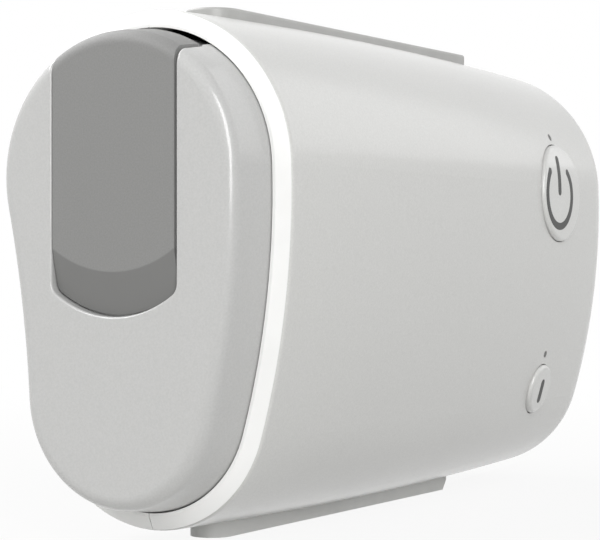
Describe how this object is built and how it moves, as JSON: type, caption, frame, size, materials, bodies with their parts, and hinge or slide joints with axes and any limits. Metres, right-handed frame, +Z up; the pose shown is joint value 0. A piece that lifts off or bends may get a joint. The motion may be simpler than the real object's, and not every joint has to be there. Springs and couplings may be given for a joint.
{
  "type": "cpap machine",
  "caption": "Travel CPAP machine: bean-section housing on its narrow side, sliding filter door on one end, power button and link button, air outlet on the other end.",
  "frame": {"origin": "bottom centre of the whole machine, in the plane that the bottom rail stands on", "axes": "+Z up, +X from the filter door towards the air outlet, -Y the side with the buttons"},
  "size_m": [0.136, 0.0524, 0.084],
  "materials": {
    "shell": "satin silver-grey moulded",
    "rim": "satin white moulded",
    "cap": "satin silver-grey moulded",
    "door": "fine satin mid grey",
    "rail": "soft-touch grey",
    "button": "satin silver-grey moulded",
    "lamp": "dark translucent",
    "led": "clear",
    "filter": "pleat-free fibre pad",
    "foam": "open-cell foam",
    "inner_plastic": "moulded",
    "switch": "moulded",
    "board": "solder mask",
    "chips": "moulded",
    "outlet": "moulded charcoal",
    "contact": "gold-plated",
    "silicone": "translucent",
    "steel": "turned",
    "magnet": "ground",
    "lamination": "stacked",
    "copper": "enamelled wire"
  },
  "bodies": {
    "housing": {"front_shell": "shell", "rear_shell": "shell", "front_rim": "rim", "rear_rim": "rim", "end_cap": "cap", "filter_frame": "inner_plastic", "air_filter": "filter", "top_rail": "rail", "bottom_rail": "rail", "start_switch": "switch", "link_switch": "switch", "start_lamp": "lamp", "link_lamp": "lamp", "start_lamp_led": "led", "link_lamp_led": "led", "main_board": "board", "board_components": "chips", "board_screws": "steel", "outlet_end": "outlet", "socket_panel": "outlet", "outlet_port": "outlet", "outlet_hose": "silicone", "power_socket": "outlet", "power_contacts": "contact", "blower_scroll_front": "inner_plastic", "blower_scroll_rear": "inner_plastic", "front_bearing": "steel", "rear_bearing": "steel", "motor_can": "steel", "stator_core": "lamination", "stator_windings": "copper", "front_mount": "silicone", "rear_mount": "silicone", "inlet_bulkhead": "inner_plastic", "inlet_foam": "foam"},
    "filter_door": {"filter_door": "door"},
    "start_button": {"start_button": "button", "start_plunger": "inner_plastic"},
    "link_button": {"link_button": "button", "link_plunger": "inner_plastic"},
    "rotor": {"impeller": "inner_plastic", "motor_shaft": "steel", "rotor_magnet": "magnet"}
  },
  "joints": [
    {"name": "door_slide", "type": "slide", "parent": "housing", "child": "filter_door", "axis": [0, 0, 1], "range_m": [0, 0.05]},
    {"name": "start_press", "type": "slide", "parent": "housing", "child": "start_button", "axis": [0, 1, 0], "range_m": [0, 0.0005], "stiffness_N_per_m": 3000},
    {"name": "link_press", "type": "slide", "parent": "housing", "child": "link_button", "axis": [0, 1, 0], "range_m": [0, 0.0005], "stiffness_N_per_m": 3000},
    {"name": "rotor_spin", "type": "hinge", "parent": "housing", "child": "rotor", "pos_m": [-0.0085, -0.0004, 0.0574], "axis": [1, 0, 0], "continuous": true}
  ]
}
